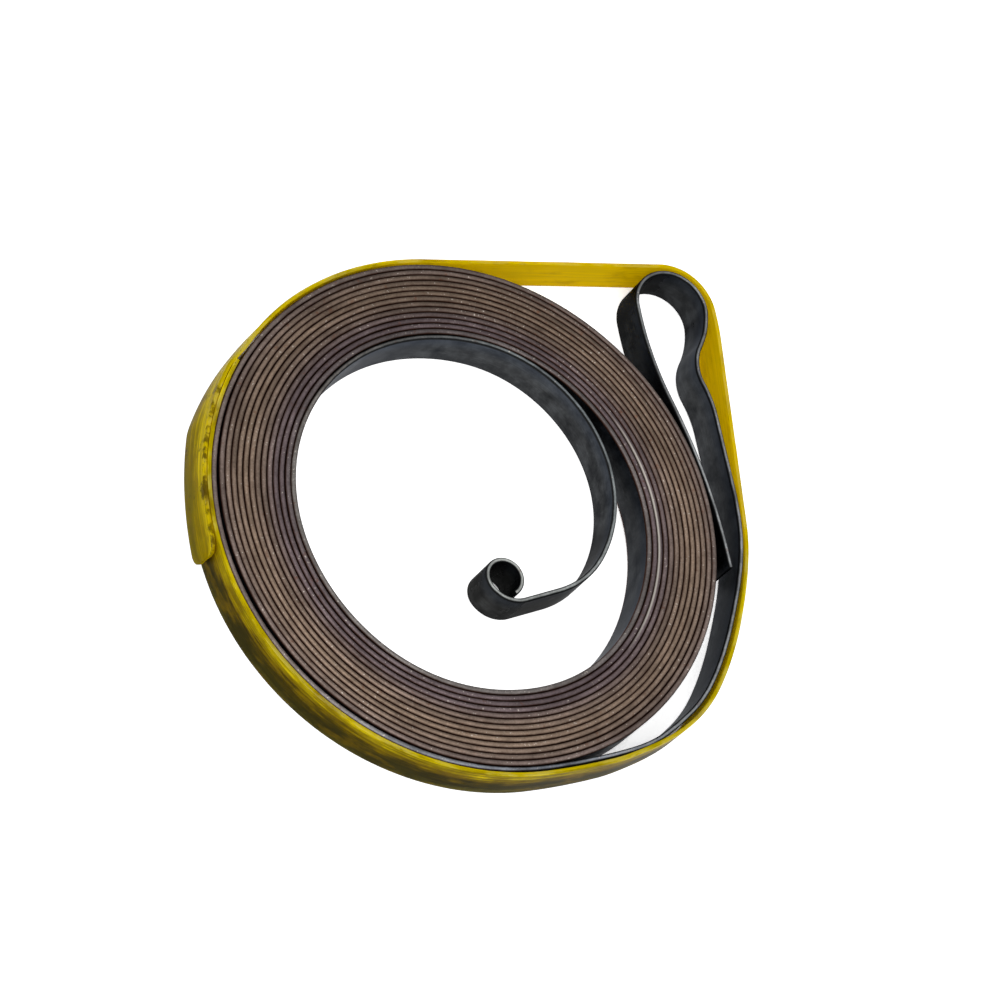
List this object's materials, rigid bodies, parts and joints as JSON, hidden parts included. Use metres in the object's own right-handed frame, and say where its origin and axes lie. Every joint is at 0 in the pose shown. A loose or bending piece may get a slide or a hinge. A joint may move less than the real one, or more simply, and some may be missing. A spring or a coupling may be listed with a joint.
{
  "type": "recoil starter spring",
  "caption": "Flat spiral recoil spring of dark steel strip with an inner curl, an outer keyhole loop and a thin yellow retaining band.",
  "frame": {"origin": "pack axis, in the plane of the strip's lower edges", "axes": "+Z along the pack axis, up from the face that it lies on; +X along the straight top run of the band, towards the keyhole loop"},
  "size_m": [0.0775, 0.0706, 0.006],
  "materials": {
    "spring_steel": "tempered dark spring steel with bare rolled edges",
    "band_plastic": "thin translucent yellow strap, semi-gloss"
  },
  "bodies": {
    "root": {"spring_strip": "spring_steel", "retaining_band": "band_plastic"}
  },
  "joints": []
}
